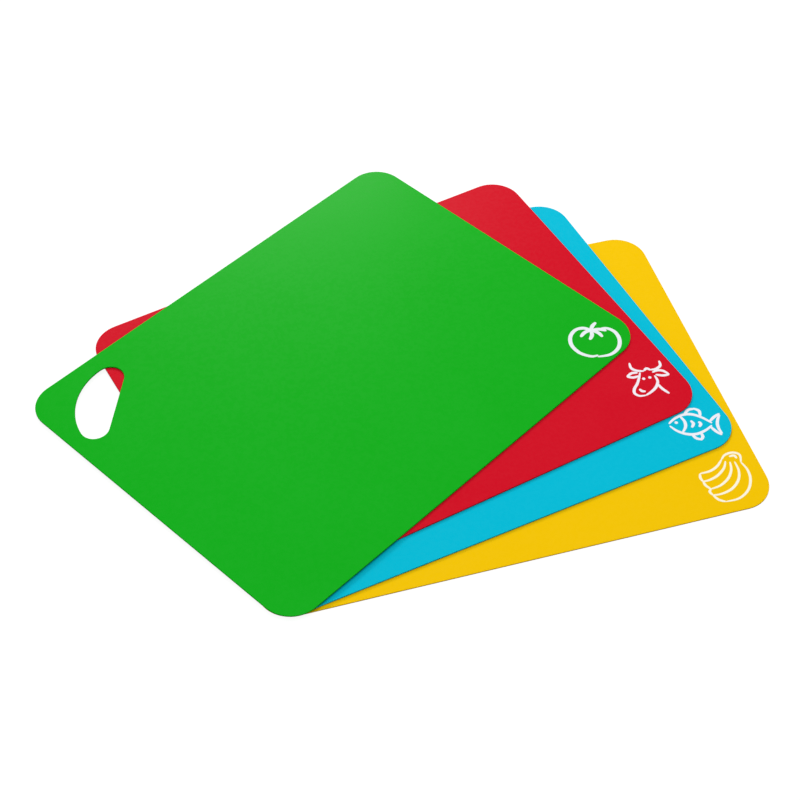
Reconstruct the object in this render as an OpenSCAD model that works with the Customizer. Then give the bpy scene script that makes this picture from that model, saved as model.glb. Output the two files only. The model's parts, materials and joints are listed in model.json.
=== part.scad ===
// Set of four flexible cutting sheets, colour-coded by food and fanned out on a table.
// The origin is the centre of the rounding of the yellow sheet's near left corner, on the table.
// +X runs along the yellow sheet's long side, +Y along its short side, and +Z is up.

/* [Sheet] */
// Long side of every sheet
sheet_l = 380; // [300:5:460]
// Short side of every sheet
sheet_w = 290; // [240:5:340]
// Thickness of every sheet
sheet_t = 1.2; // [0.6:0.1:2]
// Radius of the four outer corners
corner_r = 24; // [15:1:30]
// Running gap between a sheet and the print that it slides over
slide_gap = 0.02; // [0.01:0.01:0.1]

/* [Finger hole] */
// Distance from the sharp corner to the crown of the hole's arc, along the diagonal
hole_crown = 40.5; // [37:0.5:45]
// Depth of the half-moon hole, from its crown to its flat side
hole_depth = 30.5; // [28:0.5:36]
// Radius of the hole's arc
hole_arc_r = 53; // [46:0.5:60]
// Radius that rounds the two ends of the flat side
hole_end_r = 11; // [8:0.5:13]
// Turn of the hole about its middle, from square across the diagonal
hole_turn = -7.6; // [-12:0.2:12]
// Distance of the hole's middle from the diagonal, towards the far edge
hole_off = 2.6; // [-5:0.2:5]

/* [Fan] */
// Turn of the blue sheet from the yellow one
blue_turn = 10; // [0:0.1:40]
// Turn of the red sheet from the yellow one
red_turn = 13.3; // [0:0.1:40]
// Turn of the green sheet from the yellow one
green_turn = 30.1; // [15:0.1:50]
// How far the red sheet lies off the common corner, along its own long side
red_shift_x = -7; // [-10:0.5:10]
// How far the red sheet lies off the common corner, across its own long side
red_shift_y = 22; // [0:0.5:26]
// How far the green sheet lies off the common corner, along its own long side
green_shift_x = -1.5; // [-5:0.5:5]
// How far the green sheet lies off the common corner, across its own long side
green_shift_y = -2.5; // [-5:0.5:5]

/* [Flex of the top sheet] */
// Flat rest between the far bend line and the finger hole
far_bend_rest = 7.5; // [5:0.5:25]
// Flat rest between the near bend line and the square of the tomato
near_bend_rest = 32; // [10:0.5:40]
// Hairline between the side strips and the middle strip
bend_line_w = 0.04; // [0.02:0.01:0.1]

/* [Printed symbols] */
// Thickness of the printed film
film_t = 0.1; // [0.05:0.01:0.2]
// Distance from the right edge of its sheet to the centre of the tomato
tomato_in_x = 31; // [24:0.5:40]
// Distance from the near edge of its sheet to the centre of the tomato
tomato_in_y = 23; // [20:0.5:40]
// Distance from the right edge of its sheet to the centre of the cattle head
cattle_in_x = 25.5; // [24:0.5:40]
// Distance from the near edge of its sheet to the centre of the cattle head
cattle_in_y = 38; // [24:0.5:40]
// Distance from the right edge of its sheet to the centre of the fish
fish_in_x = 26.5; // [24:0.5:40]
// Distance from the near edge of its sheet to the centre of the fish
fish_in_y = 26.5; // [24:0.5:40]
// Distance from the right edge of its sheet to the centre of the bananas
banana_in_x = 29; // [24:0.5:40]
// Distance from the near edge of its sheet to the centre of the bananas
banana_in_y = 30; // [24:0.5:40]
// Half of the square that a symbol is drawn in
symbol_half = 25; // [18:0.5:26]
// Brush width of the tomato
tomato_line = 3.1; // [1.5:0.1:3.2]
// Brush width of the cattle head
cattle_line = 2.3; // [1.2:0.1:2.3]
// Brush width of the fish
fish_line = 2.4; // [1.2:0.1:2.8]
// Brush width of the bananas
banana_line = 2; // [0.8:0.1:2.3]

/* [Hidden] */
$fn = 96;

// Colours of the four sheets and of the print
GREEN = "#22b32b";
RED = "#d51a2d";
BLUE = "#0abddb";
YELLOW = "#fbc80a";
WHITE = "#f4f1f8";

// Each sheet lies on the one below it, a film and a running gap higher
PITCH = sheet_t + film_t + slide_gap;
BLUE_Z = PITCH;
RED_Z = 2 * PITCH;
GREEN_Z = 3 * PITCH;

// The red and the green sheet lie a little off the common corner
RED_SHIFT = [red_shift_x, red_shift_y];
GREEN_SHIFT = [green_shift_x, green_shift_y];

// Edges of a sheet seen from the centre of its near corner's rounding
LEFT = -corner_r;
NEAR = -corner_r;
RIGHT = sheet_l - corner_r;
FAR = sheet_w - corner_r;

// The hole is drawn along the corner's diagonal, u inwards and v across it
HOLE_FLAT = hole_crown + hole_depth;
HOLE_CENTRE = hole_crown + hole_arc_r;
END_U = HOLE_FLAT - hole_end_r;
END_V = sqrt(pow(hole_arc_r - hole_end_r, 2) - pow(HOLE_CENTRE - END_U, 2));
// Direction from the arc's centre to the centre of a rounded end, where the two arcs touch
END_TURN = atan2(END_V, END_U - HOLE_CENTRE);
FULL_TURN = 360;
// Steps of a rounded end and of the arc, and the step that keeps the arc off the ends' last points
END_STEPS = 14;
ARC_STEPS = 22;
ARC_EDGE = (FULL_TURN - 2 * END_TURN) / (ARC_STEPS + 2);
// The hole's middle, and the centre of its rounded end that lies furthest from the far edge
HOLE_MIDDLE = hole_crown + hole_depth / 2;
NEAR_END_U = HOLE_MIDDLE + cos(hole_turn) * (END_U - HOLE_MIDDLE) + sin(hole_turn) * END_V;
NEAR_END_V = hole_off + sin(hole_turn) * (END_U - HOLE_MIDDLE) - cos(hole_turn) * END_V;
// How far the hole reaches in from the far edge of the sheet
HOLE_REACH = (NEAR_END_U - NEAR_END_V) / sqrt(2) + hole_end_r;

// Lines where the top sheet's long sides curl up
FAR_BEND = FAR - HOLE_REACH - far_bend_rest;
NEAR_BEND = NEAR + tomato_in_y + symbol_half + near_bend_rest;

// Symbols are drawn in a square of this half size, then scaled
DRAWN_HALF = 25;
SYMBOL_SCALE = symbol_half / DRAWN_HALF;
// Every symbol stands level with the table's front edge, which the sheets turn away from
LEVEL = -15.7;

// Steps of a brush stroke between two of its points, and the share of its width at the tips
STROKE_STEPS = 5;
TIP = 0.35;
// Width of a dot against the brush's width
DOT_SHARE = 1.1;

// Brush strokes of the four symbols, each a short list of points
TOMATO_STROKES = [
    [[-2.5, 11], [-8, 13.2], [-14.5, 10.5], [-18.6, 3.5], [-18.2, -5.5],
     [-12.5, -13.5], [-4, -17.2], [1.5, -16]],
    [[5, 12], [10.5, 12.6], [16.5, 8.5], [19.3, 0.5], [17.6, -8.5], [11, -15.3], [1, -17.6]],
];
TOMATO_LEAVES = [
    [[-1.1, 10], [-7.4, 12.8], [-13.4, 11.6]],
    [[-1.6, 10.9], [-7, 8.2], [-10.6, 3.4]],
    [[-2.3, 11.2], [-1.6, 5.4], [-3.8, 0.4]],
    [[-3, 11], [3.2, 8], [6.4, 3.4]],
    [[-3.2, 9.8], [4, 11.6], [10, 10]],
    [[-2.4, 8.8], [-0.8, 14.6], [2.4, 19]],
];
CATTLE_STROKES = [
    [[-2.2, 9.5], [-7.7, 9.9], [-11.7, 12.6], [-12.6, 18]],
    [[2.7, 10.8], [7.2, 11.7], [10.8, 15.3], [10.3, 20.2]],
    [[4, 8.1], [8.1, 10.2], [12.6, 9.5], [16.7, 5.9]],
    [[16.7, 5.9], [11.7, 4.9], [6.3, 5.8]],
    [[-7.2, 7.7], [-11.7, 7.4], [-15.8, 3.6]],
    [[-15.8, 3.6], [-10.8, 2.9], [-6.8, 4.5]],
    [[-2.2, 9.7], [0, 12.2], [3.1, 10.4]],
    [[-5.4, 8.1], [-6.6, 2.7], [-8.6, -3.6], [-11.2, -8.6], [-11.5, -13.1], [-8.1, -15.8], [-3.1, -15.3]],
    [[-3.1, -15.3], [1.4, -11.7], [5.4, -6.8], [7.2, -0.9], [5.4, 5]],
    [[6.8, -3.6], [9.9, -8.6], [14.8, -13.5]],
    [[-2.9, -11.2], [-5.6, -11], [-7.5, -8.8]],
];
CATTLE_DOTS = [[-3.2, 1.6], [1.6, 2.9]];
FISH_STROKES = [
    [[-19, 0.4], [-14.4, 5.4], [-7.4, 9.4], [0, 9.5], [7.4, 5.8], [13.2, 1]],
    [[-18.6, -1.6], [-13.5, -6.6], [-6.5, -9.7], [0.9, -9.5], [7.9, -5.8], [12.8, -1.2]],
    [[11.7, 2.5], [15.3, 6.8], [20, 10.3]],
    [[19.8, 9.1], [18, 4.8], [17.1, 0], [17.7, -4.8], [19.6, -9.3]],
    [[19.3, -10.5], [15.1, -7], [11.5, -2.3]],
    [[-6.9, 8.7], [-3.3, 14], [1.3, 15.1]],
    [[0.4, 15.7], [5, 13], [5, 6.8]],
    [[-3.2, -9.1], [-0.6, -13.4], [3.5, -15.1]],
    [[2.8, -15.7], [4.8, -12.2], [3.5, -8.1]],
    [[-9.9, 7.6], [-7.1, 2.9], [-6.9, -2.5], [-9.5, -7.8]],
    [[-2.4, 3.5], [-0.7, 0.4], [-2.4, -3.3]],
    [[3.3, 2.5], [4.7, 0.2], [3.3, -2.7]],
];
FISH_DOTS = [[-13.4, 1.6]];
BANANA_STROKES = [
    [[12.6, 15], [16.4, 8], [17.4, -1], [14.4, -11], [7, -18.6], [-3, -21.6]],
    [[8, 15.6], [10, 7], [8.4, -2], [2.6, -10], [-5.6, -14.6], [-11.6, -15.6]],
    [[-3, -21.6], [-8, -19.8], [-11.6, -15.6]],
    [[4.6, 15.4], [4.6, 8], [1.4, 0], [-5, -6.6], [-12.4, -10]],
    [[-12.4, -10], [-13.6, -12.6], [-11.6, -15.6]],
    [[1.4, 16], [-0.6, 9.4], [-6, 2.6], [-12, -1.4], [-17.2, -3]],
    [[-17.2, -3], [-15.8, -6.6], [-12.4, -10]],
    [[-1.2, 17.8], [-5.2, 11.4], [-11, 6.8], [-18.6, 4.4]],
    [[-18.6, 4.4], [-18.8, 0.4], [-17.2, -3]],
    [[-1.2, 17.8], [1.8, 22], [7.6, 24.2], [12.6, 22], [12.6, 15]],
    [[4.6, 20.4], [8.4, 21.4], [10, 18.6]],
];

// One point of a smooth curve between b and c, with a and d as its neighbours
function curve_point(a, b, c, d, s) =
    0.5 * (2 * b + (c - a) * s + (2 * a - 5 * b + 4 * c - d) * s * s + (3 * b - a - 3 * c + d) * s * s * s);

// All points of a smooth curve through p
function curve_points(p) = [
    for (i = [0 : len(p) - 2], j = [0 : STROKE_STEPS - 1])
        curve_point(p[max(i - 1, 0)], p[i], p[i + 1], p[min(i + 2, len(p) - 1)], j / STROKE_STEPS),
    p[len(p) - 1],
];

// Unit vector square to the curve at its point k
function side_of(q, k) =
    let (d = q[min(k + 1, len(q) - 1)] - q[max(k - 1, 0)])
    [-d[1], d[0]] / norm(d);

// Half width of a brush stroke at share s of its length
function brush_half(w, s) = w / 2 * (TIP + (1 - TIP) * sqrt(sin(180 * s)));

// Flat outline of one brush stroke of width w through the points p
module stroke(p, w) {
    q = curve_points(p);
    last = len(q) - 1;
    up = [for (k = [0 : last]) q[k] + side_of(q, k) * brush_half(w, k / last)];
    down = [for (k = [last : -1 : 0]) q[k] - side_of(q, k) * brush_half(w, k / last)];
    polygon(concat(up, down));
}

// Flat outline of a symbol: its strokes, its leaf strokes of the same brush, and its dots
module symbol(strokes, w, dots = []) {
    for (p = strokes) stroke(p, w / SYMBOL_SCALE);
    for (c = dots) translate(c) circle(d = DOT_SHARE * w / SYMBOL_SCALE, $fn = 12);
}

// Printed film of a symbol, in_x and in_y off the edges of a sheet at height z, turned and moved by shift
module print_film(in_x, in_y, z, turn, shift = [0, 0]) {
    place = [RIGHT - in_x, NEAR + in_y] + shift;
    color(WHITE)
        rotate(turn) translate([place[0], place[1], z + sheet_t])
            rotate(LEVEL - turn) scale(SYMBOL_SCALE) linear_extrude(film_t / SYMBOL_SCALE) children();
}

// Points along an arc round the centre c, from angle a0 to angle a1
function arc_points(c, r, a0, a1, steps) = [
    for (k = [0 : steps])
        let (a = a0 + (a1 - a0) * k / steps)
        c + r * [cos(a), sin(a)],
];

// Half-moon finger hole, as a flat shape in the far left corner of a sheet
module hole_outline() {
    translate([LEFT, FAR]) rotate(-45)
        translate([HOLE_MIDDLE, hole_off]) rotate(hole_turn) translate([-HOLE_MIDDLE, 0])
            polygon(concat(
                arc_points([END_U, END_V], hole_end_r, 0, END_TURN, END_STEPS),
                arc_points([HOLE_CENTRE, 0], hole_arc_r,
                           END_TURN + ARC_EDGE, FULL_TURN - END_TURN - ARC_EDGE, ARC_STEPS),
                arc_points([END_U, -END_V], hole_end_r, FULL_TURN - END_TURN, FULL_TURN, END_STEPS)));
}

// Outline of a whole sheet, with its rounded corners and its finger hole
module sheet_outline() {
    difference() {
        union() {
            translate([LEFT + corner_r, NEAR]) square([sheet_l - 2 * corner_r, sheet_w]);
            translate([LEFT, NEAR + corner_r]) square([sheet_l, sheet_w - 2 * corner_r]);
            for (x = [LEFT + corner_r, RIGHT - corner_r], y = [NEAR + corner_r, FAR - corner_r])
                translate([x, y]) circle(corner_r);
        }
        hole_outline();
    }
}

// A whole sheet at height z that is turned by turn and moved by shift
module sheet(z, turn, shift = [0, 0]) {
    rotate(turn) translate([shift[0], shift[1], z]) linear_extrude(sheet_t) sheet_outline();
}

// A strip of the top sheet between the lines y0 and y1
module top_sheet_strip(y0, y1) {
    rotate(green_turn) translate([GREEN_SHIFT[0], GREEN_SHIFT[1], GREEN_Z])
        linear_extrude(sheet_t) intersection() {
            sheet_outline();
            translate([LEFT, y0]) square([sheet_l, y1 - y0]);
        }
}

// Bottom sheet, which lies on the table
module yellow_sheet() {
    color(YELLOW) sheet(0, 0);
}

module blue_sheet() {
    color(BLUE) sheet(BLUE_Z, blue_turn);
}

module red_sheet() {
    color(RED) sheet(RED_Z, red_turn, RED_SHIFT);
}

// Middle of the top sheet, which stays flat when the long sides curl up
module green_sheet_middle() {
    color(GREEN) top_sheet_strip(NEAR_BEND + bend_line_w / 2, FAR_BEND - bend_line_w / 2);
}

// Far long side of the top sheet, with the finger hole
module green_sheet_far_side() {
    color(GREEN) top_sheet_strip(FAR_BEND + bend_line_w / 2, FAR);
}

// Near long side of the top sheet, with the symbol
module green_sheet_near_side() {
    color(GREEN) top_sheet_strip(NEAR, NEAR_BEND - bend_line_w / 2);
}

module banana_print() {
    print_film(banana_in_x, banana_in_y, 0, 0) symbol(BANANA_STROKES, banana_line);
}

module fish_print() {
    print_film(fish_in_x, fish_in_y, BLUE_Z, blue_turn)
        symbol(FISH_STROKES, fish_line, FISH_DOTS);
}

module cattle_print() {
    print_film(cattle_in_x, cattle_in_y, RED_Z, red_turn, RED_SHIFT)
        symbol(CATTLE_STROKES, cattle_line, CATTLE_DOTS);
}

module tomato_print() {
    print_film(tomato_in_x, tomato_in_y, GREEN_Z, green_turn, GREEN_SHIFT)
        symbol(concat(TOMATO_STROKES, TOMATO_LEAVES), tomato_line);
}

yellow_sheet();
blue_sheet();
red_sheet();
green_sheet_middle();
green_sheet_far_side();
green_sheet_near_side();
banana_print();
fish_print();
cattle_print();
tomato_print();
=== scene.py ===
"""Looks of a fanned set of four flexible cutting mats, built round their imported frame.

Every length is in metres unless its name ends in _mm. The origin is the centre of the rounding of the
bottom sheet's near left corner, on the table; +X runs along its long side, +Y along its short side.
"""

import json
import logging
import math
from dataclasses import dataclass, field
from enum import Enum

import bmesh
import bpy
from mathutils import Matrix, Vector


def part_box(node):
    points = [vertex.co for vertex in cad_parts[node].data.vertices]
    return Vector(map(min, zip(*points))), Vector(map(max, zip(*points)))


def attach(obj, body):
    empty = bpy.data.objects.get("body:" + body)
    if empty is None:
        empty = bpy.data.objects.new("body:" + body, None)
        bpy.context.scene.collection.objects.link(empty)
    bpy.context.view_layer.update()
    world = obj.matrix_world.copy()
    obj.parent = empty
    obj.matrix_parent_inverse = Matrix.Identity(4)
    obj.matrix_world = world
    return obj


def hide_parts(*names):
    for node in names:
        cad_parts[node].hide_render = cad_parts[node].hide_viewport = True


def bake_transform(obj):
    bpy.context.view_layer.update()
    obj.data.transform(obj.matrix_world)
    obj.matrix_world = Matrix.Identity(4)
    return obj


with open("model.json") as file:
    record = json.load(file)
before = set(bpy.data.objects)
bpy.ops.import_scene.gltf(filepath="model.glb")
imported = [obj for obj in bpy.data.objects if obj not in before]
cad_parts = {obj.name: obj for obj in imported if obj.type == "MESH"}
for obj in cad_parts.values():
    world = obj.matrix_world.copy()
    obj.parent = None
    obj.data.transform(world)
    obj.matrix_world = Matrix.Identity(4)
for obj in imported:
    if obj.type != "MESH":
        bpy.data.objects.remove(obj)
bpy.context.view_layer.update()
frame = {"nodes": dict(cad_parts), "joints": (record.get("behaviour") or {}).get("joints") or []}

LOG = logging.getLogger("cutting_mats")
MM = 0.001
# A face belongs to the cut edge, and not to the flat sheet, where its normal points up by less than this
WALL_TILT = 0.5
# Where two faces meet at more than this, the shading keeps a crease
CREASE_DEG = 50
# Points closer than this are one point
WELD = 1e-7
WHITE = (1.0, 1.0, 1.0, 1.0)
# Numbers of a Mix node's sockets when it mixes colours
MIX_SHARE = 0
MIX_FIRST = 6
MIX_SECOND = 7
MIX_RESULT = 2
# The part of a noise's output that a pattern spreads over its whole range
BROAD = {"From_Min": 0.3, "From_Max": 0.7}
NARROW = {"From_Min": 0.35, "From_Max": 0.65}
UPPER = {"From_Min": 0.4, "From_Max": 0.75}


class Side(Enum):
    """The half of the top sheet that a mesh covers."""

    FAR = "far"
    NEAR = "near"


def srgb(hex_colour: str) -> tuple[float, float, float, float]:
    """Turns an sRGB colour into the linear one that shaders take.

    Args:
        hex_colour: six hex digits after a hash.

    Returns:
        Linear red, green and blue, and an alpha of 1.
    """
    parts = [int(hex_colour[i : i + 2], 16) / 255 for i in (1, 3, 5)]
    linear = [c / 12.92 if c <= 0.04045 else ((c + 0.055) / 1.055) ** 2.4 for c in parts]
    return (linear[0], linear[1], linear[2], 1.0)


def grey(level: float) -> tuple[float, float, float, float]:
    """Gives a plain linear grey, with an alpha of 1."""
    return (level, level, level, 1.0)


def add(
    material: bpy.types.Material | bpy.types.World,
    kind: str,
    inputs: dict[int, object] | None = None,
    **settings: object,
) -> bpy.types.Node:
    """Adds one shader node with its settings and links.

    Args:
        material: the material or world whose tree takes the node.
        kind: the node's type, without its ShaderNode prefix.
        inputs: the node's inputs by number, where several share a name.
        settings: attributes of the node, or its inputs by name with _ for a blank. Any input is given
            as a value, or as the socket to link it from.

    Returns:
        The new node.
    """
    node = material.node_tree.nodes.new("ShaderNode" + kind)
    names = [socket.name.replace(" ", "_") for socket in node.inputs]
    given = dict(inputs or {})
    for name, value in settings.items():
        if name in names:
            given[names.index(name)] = value
        else:
            setattr(node, name, value)
    for number, value in given.items():
        if isinstance(value, bpy.types.NodeSocket):
            material.node_tree.links.new(value, node.inputs[number])
        else:
            node.inputs[number].default_value = value
    return node


def fan_turn(*swivels: str) -> float:
    """Finds how far a sheet is turned from the bottom one.

    Args:
        swivels: the hinges between the bottom sheet and this one.

    Returns:
        The turn in degrees. Each hinge closes, to its lower limit, by its own share of it.
    """
    return -sum(j["range_deg"][0] for j in frame["joints"] if j["name"] in swivels)


def seen_as_background(material: bpy.types.Material | bpy.types.World) -> bpy.types.NodeSocket:
    """Finds the rays that see the background: from the camera, off a gloss, or through something clear.

    Args:
        material: the material or world whose tree takes the nodes.

    Returns:
        A socket that is 1 for such a ray and 0 for the others, which carry light.
    """
    rays = add(material, "LightPath").outputs
    seen = rays["Is Camera Ray"]
    for kind in ("Is Glossy Ray", "Is Transmission Ray"):
        seen = add(material, "Math", {0: seen, 1: rays[kind]}, operation="MAXIMUM").outputs[0]
    return seen


def new_material(name: str) -> bpy.types.Material:
    """Makes an empty node material.

    Args:
        name: what the material is called.

    Returns:
        The material, whose tree has no nodes yet.
    """
    material = bpy.data.materials.new(name)
    material.use_nodes = True
    material.node_tree.nodes.clear()
    return material


def new_piece(name: str, mesh: bpy.types.Mesh) -> bpy.types.Object:
    """Puts a mesh into the scene.

    Args:
        name: what the object is called.
        mesh: its mesh, which holds its place.

    Returns:
        The object, at the origin.
    """
    piece = bpy.data.objects.new(name, mesh)
    bpy.context.scene.collection.objects.link(piece)
    return piece


@dataclass(frozen=True)
class PolypropyleneSheet:
    """Extruded and roller-textured polypropylene: an even, saturated colour under a soft satin gloss."""

    name: str
    colour: str
    pale: str
    # The roller leaves a grain finer than a pixel, so it is drawn this wide to show in the picture
    grain_mm: float = 0.9
    grain_depth_mm: float = 0.02
    grain_bump: float = 0.35
    # Flecks are this many grains wide
    fleck_grains: int = 4
    # Bands of the extruder's flow lie this far apart
    flow_mm: float = 70.0
    # How far the flow and the flecks draw the colour towards the pale one
    flow_share: float = 0.22
    fleck_share: float = 0.08
    roughness: float = 0.27
    # How far the flecks take the roughness down and up
    smoother: float = 0.04
    rougher: float = 0.05
    ior: float = 1.49
    # The dull grain throws back little of a lamp, so the specular level is low
    haze: float = 0.035
    # The walls get painted shade, darker than the face, for the thin dark line of an edge in shadow; the
    # blade leaves them matt, with marks drawn wide enough to show
    wall_painted_shade: float = 0.55
    cut_mark_mm: float = 0.5
    cut_bump: float = 0.3
    cut_roughness: float = 0.8

    def build(self) -> bpy.types.Material:
        """Makes the material.

        Returns:
            A material whose colour drifts slightly with the extruder's flow, with a fine roller grain.
        """
        m = new_material(self.name)
        place = add(m, "TexCoord").outputs["Object"]
        flow = add(m, "TexNoise", Vector=place, Scale=1 / (self.flow_mm * MM), Detail=3.0, Roughness=0.5)
        fleck_size = self.grain_mm * self.fleck_grains * MM
        fleck = add(m, "TexNoise", Vector=place, Scale=1 / fleck_size, Detail=2.0)
        drift = add(m, "MapRange", Value=flow.outputs["Fac"], **BROAD, To_Min=0.0, To_Max=self.flow_share)
        speck = add(m, "MapRange", Value=fleck.outputs["Fac"], **NARROW, To_Min=0.0, To_Max=self.fleck_share)
        share = add(m, "Math", {0: drift.outputs["Result"], 1: speck.outputs["Result"]}, operation="ADD")
        blend = {MIX_SHARE: share.outputs[0], MIX_FIRST: srgb(self.colour), MIX_SECOND: srgb(self.pale)}
        colour = add(m, "Mix", blend, data_type="RGBA")
        grain = add(m, "TexNoise", Vector=place, Scale=1 / (self.grain_mm * MM), Detail=2.0, Roughness=0.6)
        bump = add(
            m, "Bump", Strength=self.grain_bump, Distance=self.grain_depth_mm * MM,
            Height=grain.outputs["Fac"],
        )
        gloss = add(
            m, "MapRange", Value=fleck.outputs["Fac"], **BROAD,
            To_Min=self.roughness - self.smoother, To_Max=self.roughness + self.rougher,
        )
        shader = add(
            m, "BsdfPrincipled", Base_Color=colour.outputs[MIX_RESULT], Roughness=gloss.outputs["Result"],
            IOR=self.ior, Specular_IOR_Level=self.haze, Normal=bump.outputs["Normal"],
        )
        add(m, "OutputMaterial", Surface=shader.outputs["BSDF"])
        return m

    def build_cut_edge(self) -> bpy.types.Material:
        """Makes the material of the sheared walls.

        Returns:
            A matt copy of the sheet's colour, darkened as painted shade, which draws a thin dark line round
            the sheet.
        """
        m = new_material(f"{self.name}_cut_edge")
        place = add(m, "TexCoord").outputs["Object"]
        marks = add(m, "TexNoise", Vector=place, Scale=1 / (self.cut_mark_mm * MM), Detail=2.0)
        bump = add(
            m, "Bump", Strength=self.cut_bump, Distance=self.grain_depth_mm * MM,
            Height=marks.outputs["Fac"],
        )
        red, green, blue, _ = srgb(self.colour)
        # Painted shade: the wall takes the sheet's colour darkened, in place of the shade that falls along
        # the edges
        shade = (red * self.wall_painted_shade, green * self.wall_painted_shade, blue * self.wall_painted_shade, 1)
        shader = add(
            m, "BsdfPrincipled", Base_Color=shade, Roughness=self.cut_roughness, IOR=self.ior,
            Specular_IOR_Level=self.haze, Normal=bump.outputs["Normal"],
        )
        add(m, "OutputMaterial", Surface=shader.outputs["BSDF"])
        return m


@dataclass(frozen=True)
class ScreenInk:
    """Screen-printed white ink: matt and slightly thin in places, so that the sheet tints it."""

    name: str
    sheet_colour: str
    white: str = "#f6f3fa"
    # The screen's threads leave a mesh finer than a pixel, so it is drawn this wide to show
    mesh_mm: float = 0.7
    mesh_bump: float = 0.3
    mesh_depth_mm: float = 0.02
    # Thin patches are this many threads wide
    patch_threads: int = 4
    # How much of the sheet's colour comes through where the ink is thick and where it is thin
    thick_share: float = 0.02
    thin_share: float = 0.14
    roughness: float = 0.6
    ior: float = 1.5

    def build(self) -> bpy.types.Material:
        """Makes the material.

        Returns:
            A white whose thin spots let a little of the sheet's colour through.
        """
        m = new_material(self.name)
        place = add(m, "TexCoord").outputs["Object"]
        patch_size = self.mesh_mm * self.patch_threads * MM
        cover = add(m, "TexNoise", Vector=place, Scale=1 / patch_size, Detail=3.0, Roughness=0.6)
        thin = add(
            m, "MapRange", Value=cover.outputs["Fac"], **UPPER,
            To_Min=self.thick_share, To_Max=self.thin_share,
        )
        blend = {
            MIX_SHARE: thin.outputs["Result"],
            MIX_FIRST: srgb(self.white),
            MIX_SECOND: srgb(self.sheet_colour),
        }
        colour = add(m, "Mix", blend, data_type="RGBA")
        mesh = add(m, "TexNoise", Vector=place, Scale=1 / (self.mesh_mm * MM), Detail=1.0)
        bump = add(
            m, "Bump", Strength=self.mesh_bump, Distance=self.mesh_depth_mm * MM,
            Height=mesh.outputs["Fac"],
        )
        shader = add(
            m, "BsdfPrincipled", Base_Color=colour.outputs[MIX_RESULT], Roughness=self.roughness,
            IOR=self.ior, Normal=bump.outputs["Normal"],
        )
        add(m, "OutputMaterial", Surface=shader.outputs["BSDF"])
        return m


@dataclass(frozen=True)
class HalfMoonHole:
    """The finger hole, drawn along the corner's diagonal: u runs inwards from the corner, v across."""

    crown: float = 40.5 * MM
    depth: float = 30.5 * MM
    arc_r: float = 53 * MM
    end_r: float = 11 * MM
    turn_deg: float = -7.6
    off: float = 2.6 * MM
    end_steps: int = 10
    arc_steps: int = 30

    def loop(self, corner: Vector, grow: float) -> list[Vector]:
        """Works out the hole's outline.

        Args:
            corner: the sheet's sharp far left corner.
            grow: how far outside the hole's edge the outline runs.

        Returns:
            The outline's points, anticlockwise.
        """
        centre_u = self.crown + self.arc_r
        end_u = self.crown + self.depth - self.end_r
        end_v = math.sqrt((self.arc_r - self.end_r) ** 2 - (centre_u - end_u) ** 2)
        touch = math.atan2(end_v, end_u - centre_u)
        arcs = [
            (end_u, end_v, self.end_r, 0.0, touch, self.end_steps),
            (centre_u, 0.0, self.arc_r, touch, 2 * math.pi - touch, self.arc_steps),
            (end_u, -end_v, self.end_r, 2 * math.pi - touch, 2 * math.pi, self.end_steps),
        ]
        middle = Vector((self.crown + self.depth / 2, 0))
        turn = Matrix.Rotation(math.radians(self.turn_deg), 2)
        inwards = Vector((1, -1, 0)).normalized()
        across = Vector((1, 1, 0)).normalized()
        points = []
        for u, v, r, a0, a1, steps in arcs:
            # An arc starts at the point where the one before it ended
            first = 1 if points else 0
            for k in range(first, steps + 1):
                a = a0 + (a1 - a0) * k / steps
                point = Vector((u + (r + grow) * math.cos(a), v + (r + grow) * math.sin(a)))
                point = middle + turn @ (point - middle)
                points.append(corner + inwards * point.x + across * (point.y + self.off))
        return points


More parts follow.
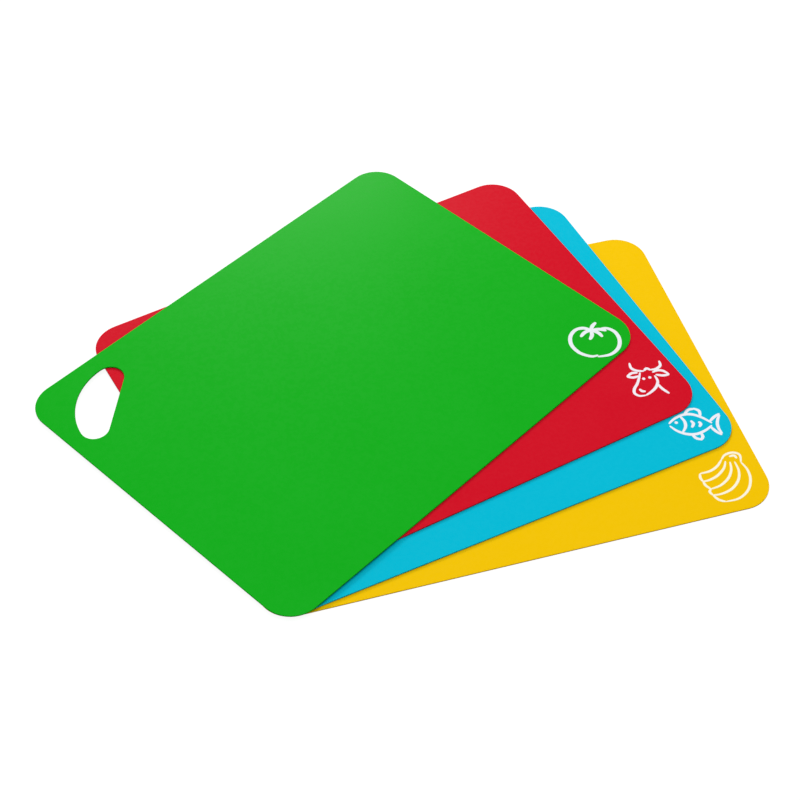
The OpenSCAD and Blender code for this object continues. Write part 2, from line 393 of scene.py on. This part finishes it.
@dataclass
class CuttingSheet:
    """One sheet: a rounded blank with a finger hole and softly rounded cut edges."""

    name: str
    body: str
    nodes: tuple[str, ...]
    slot: str
    turn_deg: float
    finish: PolypropyleneSheet
    edge_r: float = 0.3 * MM
    # Where the edge's rounding has its points, as angles from the underside up to the wall
    edge_angles: tuple[float, ...] = (0.0, 0.4, 0.8, 1.2, math.pi / 2)
    # A ring this far inside the edge keeps the shading of the flat face flat
    support: float = 0.9 * MM
    corner_steps: int = 14
    hole: HalfMoonHole = field(default_factory=HalfMoonHole)

    def __post_init__(self) -> None:
        """Takes the sheet's sizes and its place in the fan from the frame."""
        low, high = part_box("yellow_sheet")
        self.long_side = high.x - low.x
        self.short_side = high.y - low.y
        self.thick = high.z - low.z
        self.corner_r = -low.x
        turn = Matrix.Rotation(math.radians(self.turn_deg), 4, "Z")
        corners = [corner for node in self.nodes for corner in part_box(node)]
        spans = [[corner[axis] for corner in corners] for axis in range(3)]
        centre = Vector([(min(span) + max(span)) / 2 for span in spans])
        slip = turn.inverted() @ centre - (low + high) / 2
        self.to_fan = turn @ Matrix.Translation(slip)
        self.materials = (self.finish.build(), self.finish.build_cut_edge())

    def outline(self, inset: float) -> list[Vector]:
        """Works out the blank's outline.

        Args:
            inset: how far inside the cut edge the outline runs.

        Returns:
            The outline's points, anticlockwise, from the near right corner.
        """
        r = self.corner_r
        right = self.long_side - 2 * r
        far = self.short_side - 2 * r
        points = []
        for x, y, start in ((right, 0, 270), (right, far, 0), (0, far, 90), (0, 0, 180)):
            for k in range(self.corner_steps + 1):
                a = math.radians(start + 90 * k / self.corner_steps)
                points.append(Vector((x + (r - inset) * math.cos(a), y + (r - inset) * math.sin(a), 0)))
        return points

    def edge_profile(self) -> list[tuple[float, float]]:
        """Works out the section of the rounded cut edge.

        Returns:
            Pairs of an inset and a height, from the underside round to the top.
        """
        r = self.edge_r
        arc = [(r - r * math.sin(a), r - r * math.cos(a)) for a in self.edge_angles]
        under = [(self.support, 0.0)] + arc
        over = [(inset, self.thick - z) for inset, z in reversed(under)]
        return under + over

    def skin(self, bm: bmesh.types.BMesh, rings: list[list[Vector]]) -> tuple[list, list]:
        """Lays a closed strip over a stack of outlines.

        Args:
            bm: the mesh that takes the strip.
            rings: outlines with as many points each, from the underside to the top.

        Returns:
            The edges of the lowest outline and of the highest one.
        """
        layers = [[bm.verts.new(p) for p in ring] for ring in rings]
        count = len(layers[0])
        for low, high in zip(layers, layers[1:]):
            for k in range(count):
                bm.faces.new((low[k], low[(k + 1) % count], high[(k + 1) % count], high[k]))
        ends = []
        for layer in (layers[0], layers[-1]):
            ends.append([bm.edges.get((layer[k], layer[(k + 1) % count])) for k in range(count)])
        return ends[0], ends[1]

    def blank(self) -> bmesh.types.BMesh:
        """Builds the sheet flat, in its own frame.

        Returns:
            A closed mesh with rounded edges round its outline and its hole.
        """
        bm = bmesh.new()
        corner = Vector((-self.corner_r, self.short_side - self.corner_r, 0))
        outer = []
        inner = []
        for inset, z in self.edge_profile():
            lift = Vector((0, 0, z))
            outer.append([p + lift for p in self.outline(inset)])
            inner.append([p + lift for p in self.hole.loop(corner, inset)])
        outer_low, outer_high = self.skin(bm, outer)
        inner_low, inner_high = self.skin(bm, inner)
        for edges in (outer_low + inner_low, outer_high + inner_high):
            bmesh.ops.triangle_fill(bm, edges=edges, use_beauty=True)
        bmesh.ops.recalc_face_normals(bm, faces=bm.faces)
        return bm

    def place(self, bm: bmesh.types.BMesh, name: str) -> bpy.types.Object:
        """Moves a mesh from the sheet's own frame to its place in the fan.

        Args:
            bm: the mesh, which is used up.
            name: what the object is called.

        Returns:
            The object, with its materials on its faces and on its cut edges.
        """
        bm.transform(self.to_fan)
        mesh = bpy.data.meshes.new(name)
        bm.to_mesh(mesh)
        bm.free()
        for material in self.materials:
            mesh.materials.append(material)
        for polygon in mesh.polygons:
            polygon.use_smooth = True
            # Faces that stand up take the wall material, the sheet's colour painted darker as shade
            polygon.material_index = int(abs(polygon.normal.z) < WALL_TILT)
        mesh.set_sharp_from_angle(angle=math.radians(CREASE_DEG))
        piece = new_piece(name, mesh)
        return piece

    def build(self) -> list[bpy.types.Object]:
        """Builds the sheet as one piece in place of its solid.

        Returns:
            The piece, alone in a list.
        """
        piece = self.place(self.blank(), self.name)
        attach(piece, self.body)
        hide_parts(*self.nodes)
        return [piece]


@dataclass
class CurlingSheet(CuttingSheet):
    """The top sheet, whose two long sides curl up for pouring. It is built as two halves that meet flat."""

    # Bend lines lie about this far apart
    rib: float = 4 * MM
    # The outermost strip of a curled side stays flat
    edge_rest: float = 3 * MM

    def bend_span(self, side: Side) -> tuple[float, float]:
        """Finds where a side starts to bend and where its bend is complete.

        Args:
            side: the half that bends.

        Returns:
            Both places, measured across the sheet from the centre of the near corners' rounding.
        """
        joint = next(j for j in frame["joints"] if j["name"] == f"{side.value}_side_curl")
        start = (self.to_fan.inverted() @ Vector(joint["pos_m"])).y
        if side is Side.FAR:
            return start, self.short_side - self.corner_r - self.edge_rest
        return start, -self.corner_r + self.edge_rest

    def bend_lines(self, side: Side) -> list[float]:
        """Works out the lines that a side bends along.

        Args:
            side: the half that bends.

        Returns:
            Their places across the sheet, from where the bend starts.
        """
        start, end = self.bend_span(side)
        count = max(2, round(abs(end - start) / self.rib))
        return [start + (end - start) * k / count for k in range(count + 1)]

    def world_point(self, y: float) -> tuple[float, float, float]:
        """Gives the place in the fan of a point on the sheet's middle line, at y in its own frame."""
        return tuple(self.to_fan @ Vector((self.long_side / 2 - self.corner_r, y, self.thick)))

    def blend(self, piece: bpy.types.Object, side: Side) -> None:
        """Bakes a piece's place into its mesh; it does not make the piece follow the side as it curls.

        Args:
            piece: the piece whose place is baked.
            side: the half that it lies on; not used.
        """
        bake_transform(piece)

    def cut(
        self,
        bm: bmesh.types.BMesh,
        y: float,
        clear_above: bool = False,
        clear_below: bool = False,
    ) -> dict:
        """Cuts a mesh along the sheet's length.

        Args:
            bm: the mesh to cut.
            y: where the cut lies, in the sheet's own frame.
            clear_above: whether the far side is thrown away.
            clear_below: whether the near side is thrown away.

        Returns:
            What the cut made, as bmesh reports it.
        """
        geometry = bm.verts[:] + bm.edges[:] + bm.faces[:]
        return bmesh.ops.bisect_plane(
            bm, geom=geometry, dist=WELD, plane_co=(0, y, 0), plane_no=(0, 1, 0),
            clear_outer=clear_above, clear_inner=clear_below,
        )

    def half(self, side: Side) -> bpy.types.Object:
        """Builds one half of the sheet, with lines to bend along.

        Args:
            side: which half is built.

        Returns:
            The half in its place, closed where it meets the other.
        """
        bm = self.blank()
        middle = self.short_side / 2 - self.corner_r
        far = side is Side.FAR
        seam = self.cut(bm, middle, clear_above=not far, clear_below=far)
        seam_edges = [e for e in seam["geom_cut"] if isinstance(e, bmesh.types.BMEdge)]
        bmesh.ops.triangle_fill(bm, edges=seam_edges, use_beauty=True)
        for y in self.bend_lines(side):
            self.cut(bm, y)
        bmesh.ops.recalc_face_normals(bm, faces=bm.faces)
        return self.place(bm, f"{self.name}_{side.value}_half")

    def build(self) -> list[bpy.types.Object]:
        """Builds both halves in place of the three strips, and bakes each half's place.

        Returns:
            The far half and the near one.
        """
        strips = {
            Side.FAR: ("green_sheet_far_side", "green_sheet_middle"),
            Side.NEAR: ("green_sheet_near_side",),
        }
        pieces = []
        for side, nodes in strips.items():
            piece = self.half(side)
            self.blend(piece, side)
            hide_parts(*nodes)
            pieces.append(piece)
        return pieces


@dataclass
class PrintedSymbols:
    """White symbols on the sheets that stay flat: thin films of ink."""

    inks: dict[str, ScreenInk]

    def build(self) -> list[bpy.types.Object]:
        """Gives each film its ink.

        Returns:
            The films, which keep the shape and the place of their solids.
        """
        films = []
        for node, ink in self.inks.items():
            film = frame["nodes"][node]
            film.data.materials.clear()
            film.data.materials.append(ink.build())
            films.append(film)
        return films


@dataclass
class CurlingSymbol:
    """The tomato, printed on the top sheet's near side, which curls up for pouring."""

    ink: ScreenInk
    sheet: CurlingSheet
    node: str = "tomato_print"

    def build(self) -> list[bpy.types.Object]:
        """Builds the film as a copy of its solid, cut along the sheet's bend lines.

        Returns:
            The film, alone in a list.
        """
        mesh = frame["nodes"][self.node].data.copy()
        bm = bmesh.new()
        bm.from_mesh(mesh)
        bmesh.ops.remove_doubles(bm, verts=bm.verts, dist=WELD)
        a = math.radians(self.sheet.turn_deg)
        normal = (-math.sin(a), math.cos(a), 0)
        for y in self.sheet.bend_lines(Side.NEAR):
            geometry = bm.verts[:] + bm.edges[:] + bm.faces[:]
            point = self.sheet.world_point(y)
            bmesh.ops.bisect_plane(bm, geom=geometry, dist=WELD, plane_co=point, plane_no=normal)
        bm.to_mesh(mesh)
        bm.free()
        mesh.materials.clear()
        mesh.materials.append(self.ink.build())
        piece = new_piece("tomato_symbol", mesh)
        self.sheet.blend(piece, Side.NEAR)
        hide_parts(self.node)
        return [piece]


@dataclass(frozen=True)
class SoftBox:
    """A square studio lamp behind a diffuser: broad, soft light."""

    name: str
    place: tuple[float, float, float]
    side: float
    watts: float

    def hang(self, target: Vector) -> None:
        """Hangs the lamp so that it faces the set.

        Args:
            target: the point that it faces.
        """
        data = bpy.data.lights.new(self.name, "AREA")
        data.size = self.side
        data.energy = self.watts
        lamp = bpy.data.objects.new(self.name, data)
        lamp.location = Vector(self.place)
        lamp.rotation_mode = "QUATERNION"
        lamp.rotation_quaternion = (target - lamp.location).to_track_quat("-Z", "Y")
        bpy.context.scene.collection.objects.link(lamp)


@dataclass
class Studio:
    """White table, soft lamps and the camera."""

    target: Vector = field(default_factory=lambda: Vector((0.1208, 0.146, 0.0)))
    azimuth_deg: float = -16.16
    elevation_deg: float = 48.41
    distance: float = 1.3453
    focal_px: float = 1780.6
    frame_px: float = 800.0
    sensor_mm: float = 36.0
    nearest: float = 0.05
    farthest: float = 50.0
    floor_half: float = 4.0
    # The table lies this far under the bottom sheet, so that the two faces don't flicker
    floor_drop: float = 0.0002
    # What the table sends back to the object
    floor_grey: float = 0.8
    # To the camera the table glows, and the rest of its white is lit, which keeps the shadow
    floor_glow: float = 0.9
    floor_lit: float = 0.2
    soft_sky: float = 0.45
    # The overhead lamp lights the set, the low one behind it gives the sheets' far ends their sheen
    lamps: tuple[SoftBox, ...] = (
        SoftBox("overhead", (0.1, 0.1, 1.9), 1.6, 14.0),
        SoftBox("back", (0.36, 2.0, 1.05), 0.6, 21.0),
    )

    def camera(self) -> None:
        """Sets up the camera that the photograph's perspective asks for."""
        data = bpy.data.cameras.new("camera")
        data.sensor_width = self.sensor_mm
        data.lens = self.focal_px / self.frame_px * self.sensor_mm
        data.clip_start = self.nearest
        data.clip_end = self.farthest
        a = math.radians(self.azimuth_deg)
        e = math.radians(self.elevation_deg)
        back = Vector((math.sin(a) * math.cos(e), -math.cos(a) * math.cos(e), math.sin(e)))
        camera = bpy.data.objects.new("camera", data)
        camera.location = self.target + back * self.distance
        camera.rotation_mode = "QUATERNION"
        camera.rotation_quaternion = (-back).to_track_quat("-Z", "Y")
        bpy.context.scene.collection.objects.link(camera)
        bpy.context.scene.camera = camera

    def laminate(self) -> bpy.types.Material:
        """Makes the table's material.

        Returns:
            A matt white laminate that the camera sees as plain white with a faint shadow.
        """
        m = new_material("white_laminate")
        plain = add(m, "BsdfDiffuse", Color=grey(self.floor_grey))
        lit = add(m, "BsdfDiffuse", Color=grey(self.floor_lit))
        glow = add(m, "Emission", Color=WHITE, Strength=self.floor_glow)
        both = add(m, "AddShader", {0: lit.outputs[0], 1: glow.outputs[0]})
        seen = {0: seen_as_background(m), 1: plain.outputs[0], 2: both.outputs[0]}
        mix = add(m, "MixShader", seen)
        add(m, "OutputMaterial", Surface=mix.outputs[0])
        return m

    def floor(self) -> None:
        """Lays the table."""
        bm = bmesh.new()
        bmesh.ops.create_grid(bm, x_segments=2, y_segments=2, size=self.floor_half)
        mesh = bpy.data.meshes.new("table")
        bm.to_mesh(mesh)
        bm.free()
        mesh.materials.append(self.laminate())
        table = new_piece("table", mesh)
        table.location.z = -self.floor_drop

    def world(self) -> None:
        """Surrounds the scene with soft white, plain white where the camera looks past the table."""
        world = bpy.data.worlds.new("studio")
        bpy.context.scene.world = world
        world.use_nodes = True
        world.node_tree.nodes.clear()
        soft = add(world, "Background", Color=WHITE, Strength=self.soft_sky)
        plain = add(world, "Background", Color=WHITE, Strength=1.0)
        seen = {0: seen_as_background(world), 1: soft.outputs[0], 2: plain.outputs[0]}
        mix = add(world, "MixShader", seen)
        add(world, "OutputWorld", Surface=mix.outputs[0])

    def build(self) -> None:
        """Builds the whole studio."""
        self.camera()
        self.floor()
        self.world()
        for lamp in self.lamps:
            lamp.hang(self.target)
        bpy.context.scene.view_settings.view_transform = "Standard"


def main() -> None:
    """Builds the studio, the four sheets and their symbols."""
    logging.basicConfig(level=logging.INFO, format="%(name)s: %(message)s")
    Studio().build()
    # The dye runs through the plastic, so each sheet is one strong colour that pales a little in its flow
    green = PolypropyleneSheet("green_polypropylene", "#10af1a", "#1cb427")
    red = PolypropyleneSheet("red_polypropylene", "#d30d24", "#d8202f")
    blue = PolypropyleneSheet("blue_polypropylene", "#00beda", "#12c3dc")
    yellow = PolypropyleneSheet("yellow_polypropylene", "#f9c800", "#facc10")
    blue_turn = fan_turn("blue_swivel")
    red_turn = fan_turn("blue_swivel", "red_swivel")
    green_turn = fan_turn("blue_swivel", "red_swivel", "green_swivel")
    strips = ("green_sheet_middle", "green_sheet_far_side", "green_sheet_near_side")
    top = CurlingSheet("green_mat_sheet", "green_mat", strips, "green_plastic", green_turn, green)
    makers = (
        CuttingSheet("yellow_mat_sheet", "yellow_mat", ("yellow_sheet",), "yellow_plastic", 0.0, yellow),
        CuttingSheet("blue_mat_sheet", "blue_mat", ("blue_sheet",), "blue_plastic", blue_turn, blue),
        CuttingSheet("red_mat_sheet", "red_mat", ("red_sheet",), "red_plastic", red_turn, red),
        top,
        PrintedSymbols(
            {
                "banana_print": ScreenInk("ink_on_yellow", yellow.colour, "#fffbe2"),
                "fish_print": ScreenInk("ink_on_blue", blue.colour),
                "cattle_print": ScreenInk("ink_on_red", red.colour),
            }
        ),
        CurlingSymbol(ScreenInk("ink_on_green", green.colour, "#eef1f8"), top),
    )
    for maker in makers:
        for piece in maker.build():
            LOG.info("%s: %d faces", piece.name, len(piece.data.polygons))


if __name__ == "__main__":
    main()
